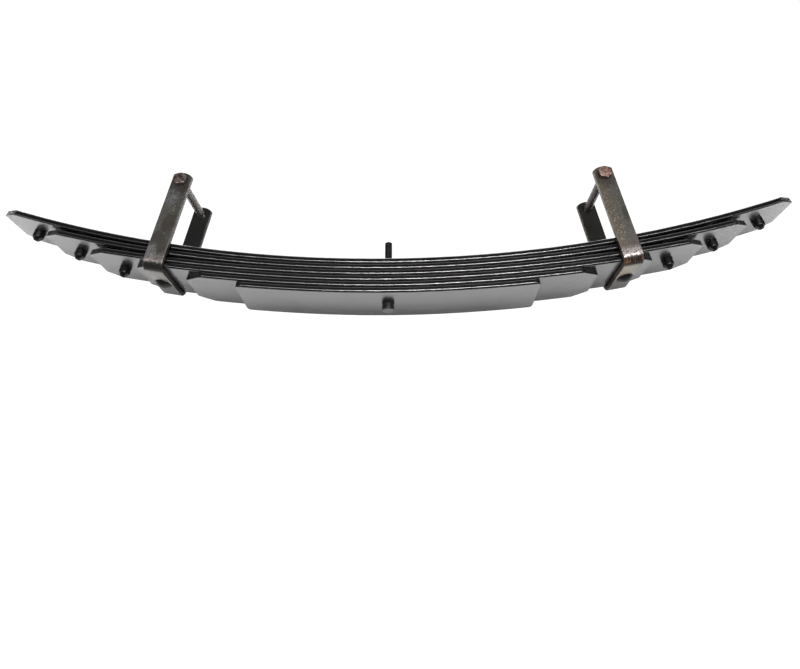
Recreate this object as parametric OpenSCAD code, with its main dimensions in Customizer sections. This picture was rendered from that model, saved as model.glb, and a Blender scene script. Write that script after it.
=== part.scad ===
// Helper leaf spring pack: six curved leaves on a centre bolt, two riveted clamps,
// and plastic pads near the tips of the three longest leaves.
// Frame: X along the spring, Y across it, Z up.
// Origin: on the centre bolt's axis, at the underside of the shortest leaf.

/* [Leaves] */
// Width of every leaf, 3 in bar
leaf_w = 76.2; // [63.5:0.1:88.9]
// Thickness of every leaf, 5/16 in bar
leaf_t = 7.94; // [7.5:0.01:8.5]
// Chamfer along the rolled edges of a leaf
leaf_chamfer = 2; // [1:0.1:2.5]
// Radius of the top leaf's upper face, unloaded
camber_r = 1600; // [1500:5:1700]
// Half length of the middle stretch in which the leaves lie tight together
seat_half = 80; // [60:5:100]
// Length of the trimmed corners at the leaf ends
trim_len = 23; // [18:1:28]
// Width of the trimmed corners at the leaf ends
trim_w = 14; // [10:1:20]
// Corner radius at the ends of the shortest leaf
short_corner_r = 8; // [4:0.5:10]

/* [Leaf lengths, from the centre bolt] */
// Leaf 1, left half
leaf_1_left = 520; // [516:1:524]
// Leaf 1, right half
leaf_1_right = 539; // [535:1:543]
// Leaf 2, left half
leaf_2_left = 453; // [449:1:457]
// Leaf 2, right half
leaf_2_right = 467; // [463:1:471]
// Leaf 3, left half
leaf_3_left = 386; // [382:1:390]
// Leaf 3, right half
leaf_3_right = 402; // [398:1:406]
// Leaf 4, left half
leaf_4_left = 320; // [316:1:324]
// Leaf 4, right half
leaf_4_right = 333; // [329:1:337]
// Leaf 5, left half
leaf_5_left = 253; // [249:1:257]
// Leaf 5, right half
leaf_5_right = 261; // [257:1:265]
// Leaf 6, left half
leaf_6_left = 187; // [183:1:191]
// Leaf 6, right half
leaf_6_right = 187; // [183:1:191]

/* [Centre bolt] */
// Diameter of the centre bolt, 3/8 in
centre_d = 9.525; // [9:0.025:10]
// Diameter of its round head
centre_head_d = 15.88; // [15:0.02:17]
// Height of its round head
centre_head_h = 8.7; // [6:0.1:10]
// Height of the stud above the top leaf
centre_stud_h = 42; // [35:1:50]
// Width across flats of the centre nut, 9/16 in
centre_nut_af = 14.29; // [13:0.01:16]
// Height of the centre nut
centre_nut_h = 8.2; // [7:0.1:10]

/* [Clamps] */
// Distance from the centre bolt to the left clamp, along the leaves
clamp_left = 292; // [285:1:295]
// Distance from the centre bolt to the right clamp, along the leaves
clamp_right = 303; // [298:1:308]
// Angle by which the clamps lean towards the middle, off square to their leaf
clamp_lean = 1.5; // [0:0.1:2.5]
// Width of the clamp strap, 1 in bar
strap_w = 25.4; // [22:0.1:28]
// Thickness of the clamp strap, 1/4 in bar
strap_t = 6.35; // [5:0.05:7]
// Gap between the leaves' edges and a strap leg
strap_side_gap = 0.8; // [0.5:0.1:1.5]
// Inner radius of the strap's two bends
strap_bend_r = 3.2; // [2.5:0.1:4]
// Outer radius of the strap's two bends, wide where the bar stretched
strap_outer_r = 14; // [9.5:0.5:15]
// Height of the clamp bolt above the strap's floor
clamp_bolt_z = 124.5; // [115:0.1:135]
// Height of a leg's tip above the clamp bolt
leg_top_h = 13; // [9.2:0.1:14]
// Radius of the arc that rounds a leg's tip
leg_top_r = 20; // [16:1:30]
// Diameter of the clamp bolt, 7/16 in
clamp_bolt_d = 11.1; // [10:0.1:12]
// Width across flats of the clamp bolt's head and nut, 5/8 in
clamp_hex_af = 15.88; // [15.5:0.01:17]
// Height of the clamp bolt's head
clamp_head_h = 6.75; // [5:0.05:8]
// Height of the clamp nut
clamp_nut_h = 9.5; // [8:0.1:11]
// Length of thread past the clamp nut
clamp_bolt_end = 4; // [2:0.5:8]
// Diameter of the rivet's shank
rivet_d = 9.5; // [8:0.1:11]
// Diameter of the rivet's domed head
rivet_head_d = 21.5; // [17:0.1:23]
// Height of the rivet's domed head
rivet_head_h = 6; // [4:0.1:6.5]
// Diameter of the rivet's countersunk end
rivet_sunk_d = 15; // [13:0.1:17]

/* [Tip pads] */
// Diameter of a pad
pad_d = 60; // [52:1:70]
// Thickness of a pad
pad_t = 2.4; // [2:0.1:3.5]
// Rounding along a pad's upper rim
pad_rim_r = 0.8; // [0.4:0.1:1]
// Distance from a leaf's end to its pad's stem
pad_inset = 38; // [35:1:44]
// Diameter of a pad's stem
stem_d = 14.2; // [12:0.1:16]
// Length of the stem below its leaf
stem_drop = 13; // [9:0.5:15]
// Length of the stem's tapered end
stem_taper_h = 5; // [2:0.5:6]
// Diameter of the stem's end face
stem_end_d = 8; // [7:0.1:11]

/* [Hidden] */

$fn = 96;
arc_fn = 1440;                      // segments in a full turn of a leaf's arc
LEFT = -1;
RIGHT = 1;
TRIMMED = 5;                        // leaves 1 to 5 have trimmed corners
CLAMPED = 4;                        // the leaf that carries the clamps
leaf_gap = 0.1;                     // play between leaves that lie together
fit_gap = 0.15;                     // radial play of stems and bolts in their holes
rest_gap = 0.12;                    // play under a flat piece on a curved leaf
thread_step = 0.25;                 // the bolt's radius is this much less below its thread
skin = 0.02;                        // the outer stretch of a leaf is this much slimmer
lap_angle = 0.1;                    // overlap of a leaf's middle and outer stretches
past = 1;                           // how far a cut runs past a face
far = 60;                           // size of the block that trims a corner
pitch = leaf_t + leaf_gap;
stack_h = 5 * pitch + leaf_t;
seat_angle = seat_half / camber_r * 180 / PI;
leg_in = leaf_w / 2 + strap_side_gap;
leg_out = leg_in + strap_t;
floor_half = leg_out - strap_outer_r;  // straight part of the strap floor, each way
bend_top = strap_outer_r - strap_t;    // height above the floor where a leg runs straight
lean_drop = strap_w / 2 * sin(clamp_lean);      // room under the leaf for a leaning floor
pad_sag = pow(pad_d / 2, 2) / 2 / camber_r;     // rise of a leaf across half a pad
hex_corner = 1 / cos(30);           // radius to a corner over radius to a flat

left_reach = [leaf_1_left, leaf_2_left, leaf_3_left, leaf_4_left, leaf_5_left, leaf_6_left];
right_reach = [
    leaf_1_right, leaf_2_right, leaf_3_right, leaf_4_right, leaf_5_right, leaf_6_right
];
steel = [0.16, 0.16, 0.17];
strap_paint = [0.27, 0.26, 0.23];
bolt_steel = [0.45, 0.42, 0.40];
rivet_steel = [0.20, 0.20, 0.20];
black_plastic = [0.05, 0.05, 0.06];

// How far leaf n reaches from the centre bolt, along the spring
function reach(side, n) = side == LEFT ? left_reach[n - 1] : right_reach[n - 1];
// Distance from the centre bolt to the stem of leaf n's pad
function pad_at(side, n) = reach(side, n) - pad_inset;
function clamp_at(side) = side == LEFT ? clamp_left : clamp_right;

// Outside the tight middle, the pad on leaf n holds it away from the leaf above. The gap
// grows with the square of the distance and is set at the pad's inner edge, so the leaf's
// curvature is this much less than that of the leaf above.
function eased(side, n) =
    2 * (pad_t + 2 * rest_gap) / pow(pad_at(side, n) - pad_d / 2 - seat_half, 2);
// Outer radius of leaf n's family: leaf 1, leaf 2, and leaves 3 to 6 together
function outer_r(side, n) =
    1 / (1 / camber_r - (n > 1 ? eased(side, 2) : 0) - (n > 2 ? eased(side, 3) : 0));
// Angle of the leaf at distance s along the spring
function angle_at(side, n, s) = seat_angle + (s - seat_half) / outer_r(side, n) * 180 / PI;

// Moves to leaf n's family at distance s: local Z is the leaf's upward normal, and the
// origin is on the upper face of leaf 1, or its continuation when the pads push it away.
module station(side, n, s) {
    r = outer_r(side, n);
    slide = camber_r - r;
    translate([side * slide * sin(seat_angle), 0, stack_h + camber_r - slide * cos(seat_angle)])
        rotate([0, -side * angle_at(side, n, s), 0])
            translate([0, 0, -r])
                children();
}

// Cross-section of leaf n, as radius and width, for an arc of radius r at leaf 1,
// drawn in by inset on every side
module leaf_section(n, r, inset) {
    top = r + (n - 1) * pitch + inset;
    bottom = top + leaf_t - 2 * inset;
    half = leaf_w / 2 - inset;
    c = leaf_chamfer;
    polygon([
        [top, c - half], [top + c, -half], [bottom - c, -half], [bottom, c - half],
        [bottom, half - c], [bottom - c, half], [top + c, half], [top, half - c]
    ]);
}

// Arc of leaf n from angle a0 to a1, both measured from straight down
module leaf_arc(n, r, a0, a1, inset = 0) {
    rotate([90, 0, 0])
        rotate([0, 0, 270 + a0])
            rotate_extrude(angle = a1 - a0, $fn = arc_fn)
                leaf_section(n, r, inset);
}

// Outer stretch of leaf n, let a little way into the middle stretch
module leaf_end_arc(side, n) {
    r = outer_r(side, n);
    slide = camber_r - r;
    start = seat_angle - lap_angle;
    end = angle_at(side, n, reach(side, n));
    translate([side * slide * sin(seat_angle), 0, stack_h + camber_r - slide * cos(seat_angle)])
        leaf_arc(n, r, side == LEFT ? -end : start, side == LEFT ? -start : end, skin);
}

// Prism that trims one corner of a leaf's end; local X points out of the end
module corner_trim(n) {
    run = [trim_len, -trim_w];
    a = [-trim_len, leaf_w / 2];
    translate([0, 0, -n * pitch - past])
        linear_extrude(pitch + 2 * past)
            polygon([a - run, a + 2 * run, [far, far]]);
}

// Prism that rounds one corner of the shortest leaf's end
module corner_round(n) {
    r = short_corner_r;
    translate([-r, leaf_w / 2 - r, -n * pitch - past])
        difference() {
            cube([r + past, r + past, pitch + 2 * past]);
            translate([0, 0, -past])
                cylinder(h = pitch + 4 * past, r = r);
        }
}

module end_cuts(side, n) {
    station(side, n, reach(side, n))
        for (across = [0, 1])
            mirror([side == LEFT ? 1 : 0, 0, 0])
                mirror([0, across, 0])
                    if (n <= TRIMMED) corner_trim(n); else corner_round(n);
}

// Hole through leaf n at a station, with its axis along the leaf's normal
module leaf_hole(n, d) {
    translate([0, 0, -n * pitch - past])
        cylinder(h = pitch + 2 * past, d = d);
}

module leaf(n) {
    color(steel)
        difference() {
            union() {
                translate([0, 0, stack_h + camber_r])
                    leaf_arc(n, camber_r, -seat_angle, seat_angle);
                leaf_end_arc(LEFT, n);
                leaf_end_arc(RIGHT, n);
            }
            translate([0, 0, stack_h])
                leaf_hole(n, centre_d + 2 * fit_gap);
            for (side = [LEFT, RIGHT]) {
                end_cuts(side, n);
                if (n < CLAMPED)
                    station(side, n, pad_at(side, n))
                        leaf_hole(n, stem_d + 2 * fit_gap);
                if (n == CLAMPED)
                    station(side, n, clamp_at(side))
                        rivet_hole();
            }
        }
}

// Rivet hole in the clamped leaf, countersunk from its upper face
module rivet_hole() {
    top = -(CLAMPED - 1) * pitch;
    sink = (rivet_sunk_d - rivet_d) / 2;
    leaf_hole(CLAMPED, rivet_d + 2 * fit_gap);
    translate([0, 0, top - sink])
        cylinder(h = sink + past, d1 = rivet_d + 2 * fit_gap,
                 d2 = rivet_sunk_d + 2 * fit_gap + 2 * past);
}

module centre_bolt() {
    bevel = 1;
    free_z = stack_h + centre_nut_h + 1;
    top_z = stack_h + centre_stud_h;
    r = centre_d / 2;
    head_r = centre_head_d / 2;
    color(bolt_steel)
        rotate_extrude()
            polygon([
                [0, -centre_head_h], [head_r - bevel, -centre_head_h],
                [head_r, bevel - centre_head_h], [head_r, 0],
                [r - thread_step, 0], [r - thread_step, free_z],
                [r, free_z], [r, top_z - bevel], [r - bevel, top_z], [0, top_z]
            ]);
}

// Hexagonal block with its lower face at z = 0
module hex(af, h) {
    cylinder(h = h, r = af / 2 * hex_corner, $fn = 6);
}

module centre_nut() {
    color(bolt_steel)
        translate([0, 0, stack_h + rest_gap])
            difference() {
                hex(centre_nut_af, centre_nut_h);
                translate([0, 0, -past])
                    cylinder(h = centre_nut_h + 2 * past, d = centre_d);
            }
}

// Moves to a clamp: the origin is on the strap's floor, just under the clamped leaf, and
// local Z leans towards the middle of the spring
module at_clamp(side) {
    station(side, CLAMPED, clamp_at(side))
        translate([0, 0, -CLAMPED * pitch + leaf_gap - rest_gap - lean_drop])
            rotate([0, -side * clamp_lean, 0])
                children();
}

// One leg of the strap, standing on +Y, with its arched tip and bolt hole
module strap_leg() {
    tip = clamp_bolt_z + leg_top_h;
    translate([0, leg_out, 0])
        rotate([90, 0, 0])
            linear_extrude(strap_t)
                difference() {
                    intersection() {
                        translate([-strap_w / 2, bend_top])
                            square([strap_w, tip]);
                        union() {
                            translate([0, tip - leg_top_r])
                                circle(r = leg_top_r);
                            translate([-strap_w / 2, 0])
                                square([strap_w, tip - leg_top_r]);
                        }
                    }
                    translate([0, clamp_bolt_z])
                        circle(d = clamp_bolt_d + 2 * fit_gap);
                }
}

// Bend between the floor and the +Y leg, thinner in the middle than the bar
module strap_bend() {
    translate([-strap_w / 2, 0, 0])
        rotate([90, 0, 90])
            linear_extrude(strap_w)
                difference() {
                    intersection() {
                        translate([floor_half, bend_top])
                            circle(r = strap_outer_r);
                        translate([floor_half, -strap_t])
                            square(strap_outer_r);
                    }
                    union() {
                        translate([leg_in - strap_bend_r, strap_bend_r])
                            circle(r = strap_bend_r);
                        translate([floor_half - past, 0])
                            square([leg_in - strap_bend_r - floor_half + past, bend_top + past]);
                        translate([floor_half - past, strap_bend_r])
                            square([leg_in - floor_half + past, bend_top + past]);
                    }
                }
}

module clamp_strap(side) {
    color(strap_paint)
        at_clamp(side)
            difference() {
                union() {
                    translate([-strap_w / 2, -floor_half, -strap_t])
                        cube([strap_w, 2 * floor_half, strap_t]);
                    for (across = [0, 1])
                        mirror([0, across, 0]) {
                            strap_leg();
                            strap_bend();
                        }
                }
                translate([0, 0, -strap_t - past])
                    cylinder(h = strap_t + 2 * past, d = rivet_d + 4 * fit_gap);
            }
}

// Rivet with a domed head under the strap and a countersunk end in the clamped leaf
module clamp_rivet(side) {
    top = leaf_t;
    sink = (rivet_sunk_d - rivet_d) / 2;
    head_z = -strap_t - 2 * lean_drop;
    r = rivet_d / 2;
    dome_r = (pow(rivet_head_d / 2, 2) + pow(rivet_head_h, 2)) / (2 * rivet_head_h);
    color(rivet_steel)
        station(side, CLAMPED, clamp_at(side))
            translate([0, 0, -CLAMPED * pitch + leaf_gap]) {
                rotate_extrude()
                    polygon([
                        [0, head_z - 1], [r, head_z - 1], [r, top - sink],
                        [rivet_sunk_d / 2, top], [0, top]
                    ]);
                rotate_extrude()
                    intersection() {
                        translate([0, head_z - rivet_head_h + dome_r])
                            circle(r = dome_r);
                        translate([0, head_z - rivet_head_h])
                            square([rivet_head_d, rivet_head_h]);
                    }
            }
}

// Bolt across the clamp, with its head on the -Y side
module clamp_bolt(side) {
    bevel = 1;
    r = clamp_bolt_d / 2;
    head_y = leg_out + rest_gap;
    end_y = leg_out + clamp_nut_h + clamp_bolt_end;
    color(bolt_steel)
        at_clamp(side)
            translate([0, 0, clamp_bolt_z])
                rotate([-90, 0, 0]) {
                    rotate_extrude()
                        polygon([
                            [0, -head_y - bevel], [r, -head_y - bevel], [r, end_y - bevel],
                            [r - bevel, end_y], [0, end_y]
                        ]);
                    translate([0, 0, -head_y - clamp_head_h])
                        intersection() {
                            rotate([0, 0, 30])
                                hex(clamp_hex_af, clamp_head_h);
                            cylinder(h = clamp_head_h, d1 = clamp_hex_af,
                                     d2 = clamp_hex_af * hex_corner + 2 * clamp_head_h);
                        }
                }
}

module clamp_nut(side) {
    color(bolt_steel)
        at_clamp(side)
            translate([0, leg_out + rest_gap, clamp_bolt_z])
                rotate([-90, 0, 0])
                    difference() {
                        rotate([0, 0, 30])
                            hex(clamp_hex_af, clamp_nut_h);
                        translate([0, 0, -past])
                            cylinder(h = clamp_nut_h + 2 * past, d = clamp_bolt_d + 0.1);
                    }
}

// Pad on the upper face of leaf n, with a tapered stem through the leaf
module tip_pad(side, n) {
    rim = 1.2;
    top = -(n - 1) * pitch + pad_sag + rest_gap;
    end = -(n - 1) * pitch - leaf_t - stem_drop;
    r = stem_d / 2;
    end_r = stem_end_d / 2;
    color(black_plastic)
        station(side, n, pad_at(side, n)) {
            rotate_extrude() {
                translate([0, top])
                    square([pad_d / 2, pad_t - pad_rim_r]);
                translate([0, top])
                    square([pad_d / 2 - pad_rim_r, pad_t]);
                translate([pad_d / 2 - pad_rim_r, top + pad_t - pad_rim_r])
                    circle(r = pad_rim_r);
            }
            rotate_extrude()
                polygon([
                    [0, end + rim], [end_r - rim, end + rim], [end_r - rim, end], [end_r, end],
                    [r, end + stem_taper_h], [r, top + 1], [0, top + 1]
                ]);
        }
}

leaf(1);  // leaf_1
leaf(2);  // leaf_2
leaf(3);  // leaf_3
leaf(4);  // leaf_4
leaf(5);  // leaf_5
leaf(6);  // leaf_6
centre_bolt();
centre_nut();
clamp_strap(LEFT);  // left_clamp_strap
clamp_rivet(LEFT);  // left_clamp_rivet
clamp_bolt(LEFT);  // left_clamp_bolt
clamp_nut(LEFT);  // left_clamp_nut
clamp_strap(RIGHT);  // right_clamp_strap
clamp_rivet(RIGHT);  // right_clamp_rivet
clamp_bolt(RIGHT);  // right_clamp_bolt
clamp_nut(RIGHT);  // right_clamp_nut
tip_pad(LEFT, 1);  // left_tip_pad_1
tip_pad(LEFT, 2);  // left_tip_pad_2
tip_pad(LEFT, 3);  // left_tip_pad_3
tip_pad(RIGHT, 1);  // right_tip_pad_1
tip_pad(RIGHT, 2);  // right_tip_pad_2
tip_pad(RIGHT, 3);  // right_tip_pad_3
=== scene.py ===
import math

import bpy
import bmesh
import numpy as np
from mathutils import Matrix, Vector, noise


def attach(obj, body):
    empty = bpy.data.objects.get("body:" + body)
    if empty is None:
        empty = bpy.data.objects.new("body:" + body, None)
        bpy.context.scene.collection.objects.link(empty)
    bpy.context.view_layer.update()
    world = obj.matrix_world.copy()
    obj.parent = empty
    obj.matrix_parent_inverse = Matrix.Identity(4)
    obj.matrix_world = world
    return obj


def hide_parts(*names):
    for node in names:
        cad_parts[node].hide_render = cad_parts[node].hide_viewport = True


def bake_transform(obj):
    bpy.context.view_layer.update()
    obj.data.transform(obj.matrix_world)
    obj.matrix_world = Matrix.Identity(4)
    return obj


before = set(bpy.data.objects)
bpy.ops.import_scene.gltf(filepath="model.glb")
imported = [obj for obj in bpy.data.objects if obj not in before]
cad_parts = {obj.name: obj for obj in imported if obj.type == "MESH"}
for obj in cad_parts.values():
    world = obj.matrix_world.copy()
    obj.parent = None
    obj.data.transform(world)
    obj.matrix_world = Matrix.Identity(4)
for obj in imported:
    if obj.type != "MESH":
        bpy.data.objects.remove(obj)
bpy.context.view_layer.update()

# Helper leaf spring pack. Shapes are worked out in millimetres, as in the CAD source,
# and MM turns them into metres when a mesh is made.
MM = 0.001
LEFT, RIGHT = -1, 1
SIDES = {LEFT: "left", RIGHT: "right"}

# Leaves. REACH is each leaf's half length, from the centre bolt, longest leaf first.
LEAF_W = 76.2
LEAF_T = 7.94
CAMBER_R = 1600.0
SEAT_HALF = 80.0
TRIMMED = 5                   # leaves 1 to 5 have trimmed corners
TRIM_LEN = 23.0
TRIM_W = 14.0
SHORT_CORNER_R = 8.0
REACH = {
    LEFT: (520, 453, 386, 320, 253, 187),
    RIGHT: (539, 467, 402, 333, 261, 187),
}

# Centre bolt and its nut
CENTRE_D = 9.525
CENTRE_PITCH = 1.058          # 24 threads to the inch
CENTRE_HEAD_D = 15.88
CENTRE_HEAD_H = 8.7
CENTRE_STUD_H = 42.0
CENTRE_NUT_AF = 14.29
CENTRE_NUT_H = 8.2

# Clamps. CLAMP is the distance from the centre bolt, along the leaves.
CLAMPED = 4                   # the leaf that carries the clamps
CLAMP = {LEFT: 292.0, RIGHT: 303.0}
CLAMP_LEAN = math.radians(1.5)
STRAP_W = 25.4
STRAP_T = 6.35
STRAP_SIDE_GAP = 0.8
STRAP_BEND_R = 3.2
STRAP_OUTER_R = 14.0
CLAMP_BOLT_Z = 124.5
LEG_TOP_H = 13.0
LEG_TOP_R = 20.0
CLAMP_BOLT_D = 11.1
CLAMP_PITCH = 1.27            # 20 threads to the inch
CLAMP_HEX_AF = 15.88
CLAMP_HEAD_H = 6.75
CLAMP_NUT_H = 9.5
CLAMP_BOLT_END = 4.0
RIVET_D = 9.5
RIVET_HEAD_D = 21.5
RIVET_HEAD_H = 6.0
RIVET_SUNK_D = 15.0

# Tip pads
PAD_D = 60.0
PAD_T = 2.4
PAD_RIM_R = 0.8
PAD_INSET = 38.0
STEM_D = 14.2
STEM_DROP = 13.0
STEM_TAPER_H = 5.0
STEM_END_D = 8.0

# Gaps between the pieces
LEAF_GAP = 0.1
FIT_GAP = 0.15
REST_GAP = 0.12

# Sizes that follow from those above
PITCH = LEAF_T + LEAF_GAP
STACK_H = 5 * PITCH + LEAF_T
SEAT_ANGLE = SEAT_HALF / CAMBER_R
PAD_SAG = (PAD_D / 2) ** 2 / 2 / CAMBER_R
LEG_IN = LEAF_W / 2 + STRAP_SIDE_GAP
LEG_OUT = LEG_IN + STRAP_T
LEAN_DROP = STRAP_W / 2 * math.sin(CLAMP_LEAN)
BEND_R = STRAP_BEND_R + STRAP_T / 2             # bend's radius, halfway through the bar
FLOOR_HALF = LEG_IN - STRAP_BEND_R              # half length of the strap's flat floor
LEG_FOOT = FLOOR_HALF + BEND_R * math.pi / 2    # from the floor's middle to a leg, along it
LEG_ZERO = LEG_FOOT - STRAP_BEND_R              # along the strap, where a leg's height is 0
TIP_Z = CLAMP_BOLT_Z + LEG_TOP_H
ARC_Z = TIP_Z - LEG_TOP_R


# ---------------------------------------------------------------- geometry of the pack

def pad_at(side, n):
    """Distance from the centre bolt to the pad on leaf n."""
    return REACH[side][n - 1] - PAD_INSET


def eased(side, n):
    """How much less leaf n curves than the leaf above it, because of its pad."""
    return 2 * (PAD_T + 2 * REST_GAP) / (pad_at(side, n) - PAD_D / 2 - SEAT_HALF) ** 2


def outer_r(side, n):
    """Radius of leaf n beyond the seat, where the pads on leaves 2 and 3 open it up."""
    less = (eased(side, 2) if n > 1 else 0) + (eased(side, 3) if n > 2 else 0)
    return 1 / (1 / CAMBER_R - less)


def on_leaf(side, n, s, v, w):
    """Row-frame points, in mm: s along leaf n's family, v across it, w up from its face."""
    s, v, w = np.broadcast_arrays(*(np.asarray(a, float) for a in (s, v, w)))
    inner = s <= SEAT_HALF
    r = np.where(inner, CAMBER_R, outer_r(side, n))
    angle = np.where(inner, s / CAMBER_R, SEAT_ANGLE + (s - SEAT_HALF) / outer_r(side, n))
    slide = CAMBER_R - r
    x = side * (slide * math.sin(SEAT_ANGLE) + np.sin(angle) * (r - w))
    z = STACK_H + CAMBER_R - slide * math.cos(SEAT_ANGLE) - np.cos(angle) * (r - w)
    return np.stack([x, v, z], -1)


def leaf_angle(side, n, s):
    """Slope of leaf n at s, in radians."""
    if s <= SEAT_HALF:
        return s / CAMBER_R
    return SEAT_ANGLE + (s - SEAT_HALF) / outer_r(side, n)


def station(side, n, s, lift=0.0, lean=0.0):
    """Matrix, in mm, to leaf n's family at s, with local Z along the leaf's normal."""
    a = leaf_angle(side, n, s)
    at = on_leaf(side, n, s, 0.0, lift)
    m = Matrix.Rotation(-side * (a + lean), 4, "Y")
    m.translation = Vector(at)
    return m


def at_clamp(side):
    """Matrix, in mm, to the middle of a clamp strap's floor."""
    lift = -CLAMPED * PITCH + LEAF_GAP - REST_GAP - LEAN_DROP
    return station(side, CLAMPED, CLAMP[side], lift, CLAMP_LEAN)


# ---------------------------------------------------------------- mesh tools

PAST = 2.0                    # how far a hole's cutter runs past the faces


def new_object(name, points, faces):
    mesh = bpy.data.meshes.new(name)
    mesh.from_pydata([tuple(p) for p in points], [], [tuple(f) for f in faces])
    obj = bpy.data.objects.new(name, mesh)
    bpy.context.scene.collection.objects.link(obj)
    return obj


def face_outwards(obj):
    bm = bmesh.new()
    bm.from_mesh(obj.data)
    bmesh.ops.recalc_face_normals(bm, faces=bm.faces)
    bm.to_mesh(obj.data)
    bm.free()
    return obj


def clean(obj, distance=1e-3):
    """Merges points that coincide and turns every face outwards."""
    bm = bmesh.new()
    bm.from_mesh(obj.data)
    bmesh.ops.remove_doubles(bm, verts=bm.verts, dist=distance)
    bmesh.ops.dissolve_degenerate(bm, edges=bm.edges, dist=distance)
    bm.to_mesh(obj.data)
    bm.free()
    return face_outwards(obj)


def points_of(obj):
    co = np.empty(len(obj.data.vertices) * 3, np.float64)
    obj.data.vertices.foreach_get("co", co)
    return co.reshape(-1, 3)


def set_points(obj, points):
    obj.data.vertices.foreach_set("co", np.asarray(points, np.float32).ravel())
    obj.data.update()


def shift(obj, x, y, z):
    set_points(obj, points_of(obj) + np.array([x, y, z]))


def bake_modifiers(obj):
    graph = bpy.context.evaluated_depsgraph_get()
    old = obj.data
    obj.data = bpy.data.meshes.new_from_object(obj.evaluated_get(graph))
    obj.modifiers.clear()
    bpy.data.meshes.remove(old)
    return obj


def boolean(obj, operation, others):
    """Cuts the others from obj, joins them to it or keeps what they share."""
    for other in others:
        m = obj.modifiers.new("boolean", "BOOLEAN")
        m.operation = operation
        m.solver = "EXACT"
        m.object = other
    bpy.context.view_layer.update()
    bake_modifiers(obj)
    for other in others:
        bpy.data.objects.remove(other)
    return obj


def bevel(obj, width, segments=2):
    """Rounds the edges that turn by more than 35 degrees."""
    m = obj.modifiers.new("bevel", "BEVEL")
    m.width = width
    m.segments = segments
    m.limit_method = "ANGLE"
    m.angle_limit = math.radians(35)
    m.harden_normals = False
    bpy.context.view_layer.update()
    return bake_modifiers(obj)


def store(obj, name, values):
    """Keeps a number or a vector for each point, for the materials."""
    kind = "FLOAT_VECTOR" if np.ndim(values) == 2 else "FLOAT"
    attribute = obj.data.attributes.new(name, kind, "POINT")
    key = "vector" if kind == "FLOAT_VECTOR" else "value"
    attribute.data.foreach_set(key, np.asarray(values, np.float32).ravel())


def finish_piece(obj, matrix, body, node, material, angle=32):
    """Shades a piece, moves it into the row frame in metres, hangs it on its body if it has
    one, and hides the CAD part that it stands for.

    An edge that turns by more than angle degrees stays sharp.
    """
    if matrix is not None:
        obj.data.transform(matrix)
    obj.data.transform(Matrix.Scale(MM, 4))
    obj.data.materials.clear()
    obj.data.materials.append(material)
    obj.data.polygons.foreach_set("use_smooth", [True] * len(obj.data.polygons))
    obj.data.set_sharp_from_angle(angle=math.radians(angle))
    weighted = obj.modifiers.new("weighted", "WEIGHTED_NORMAL")
    weighted.mode = "FACE_AREA"
    weighted.weight = 60
    weighted.keep_sharp = True
    bpy.context.view_layer.update()
    bake_modifiers(obj)
    if body:
        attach(obj, body)
    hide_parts(node)


def block(name, ni, nj, nk, shape):
    """Closed skin of a bar of ni rings, nj columns and nk levels of points.

    shape(i, j, k) gives the place of a ring's, column's and level's points.
    """
    index = -np.ones((ni, nj, nk), int)
    i, j, k = np.meshgrid(range(ni), range(nj), range(nk), indexing="ij")
    skin = (i == 0) | (i == ni - 1) | (j == 0) | (j == nj - 1) | (k == 0) | (k == nk - 1)
    index[skin] = np.arange(skin.sum())
    faces = []
    for grid in (index[0], index[-1], index[:, 0], index[:, -1], index[:, :, 0],
                 index[:, :, -1]):
        quads = np.stack([grid[:-1, :-1], grid[1:, :-1], grid[1:, 1:], grid[:-1, 1:]], -1)
        faces.extend(quads.reshape(-1, 4).tolist())
    return clean(new_object(name, shape(i[skin], j[skin], k[skin]), faces))


def rounding(w, half, r):
    """How far a rounded rim of radius r draws in at height w of a bar 2 * half thick."""
    d = np.clip(np.abs(w) - (half - r), 0, r)
    return r - np.sqrt(np.maximum(r * r - d * d, 0))


def spun(name, rings, distance=1e-3):
    """Closed skin about Z through rings of points. A ring is its radii and its heights."""
    segments = len(rings[0][0])
    turn = np.arange(segments) * 2 * math.pi / segments
    points, index = [], []
    for radii, heights in rings:
        if radii.max() < 1e-6:
            index.append([len(points)] * segments)
            points.append((0, 0, heights[0]))
        else:
            index.append(list(range(len(points), len(points) + segments)))
            points.extend(zip(radii * np.cos(turn), radii * np.sin(turn), heights))
    faces = []
    for low, high in zip(index, index[1:]):
        for i in range(segments):
            k = (i + 1) % segments
            ring = [low[i], low[k], high[k], high[i]]
            ring = [p for q, p in enumerate(ring) if p not in ring[:q]]
            if len(ring) > 2:
                faces.append(ring)
    return clean(new_object(name, points, faces), distance)


def round_rings(profile, segments):
    """Rings for spun() of a plain profile of (radius, z)."""
    return [(np.full(segments, r), np.full(segments, z)) for r, z in profile]


def lathe(name, profile, segments=72):
    """Solid of revolution about Z. The profile is (radius, z) from axis to axis."""
    return spun(name, round_rings(profile, segments))


def arc(cx, cz, r, a0, a1, n):
    """Points of a profile's arc, from angle a0 to a1 in degrees."""
    return [(cx + r * math.cos(math.radians(a)), cz + r * math.sin(math.radians(a)))
            for a in np.linspace(a0, a1, n)]


def thread(name, before, r, z0, z1, pitch, after):
    """Turned solid with a helical thread from z0 to z1, between two plain profiles."""
    segments = 60
    rings_per_turn = 10
    depth = 0.61 * pitch
    flanks = 0.875                # share of the pitch that the groove takes
    run_out = 0.6 * pitch
    turn = np.arange(segments) / segments
    threaded = []
    rows = int(round((z1 - z0) / pitch * rings_per_turn))
    for i in range(rows + 1):
        z = z0 + (z1 - z0) * i / rows
        phase = ((z - z0) / pitch - turn) % 1.0
        cut = np.clip(1 - np.abs(phase - 0.5) * 2 / flanks, 0, 1)
        fade = np.clip((z - z0) / pitch, 0, 1) * np.clip((z1 - z) / run_out, 0, 1)
        threaded.append((r - depth * cut * fade, np.full(segments, z)))
    rings = round_rings(before, segments) + threaded + round_rings(after, segments)
    return spun(name, rings, 1e-5)


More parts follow.
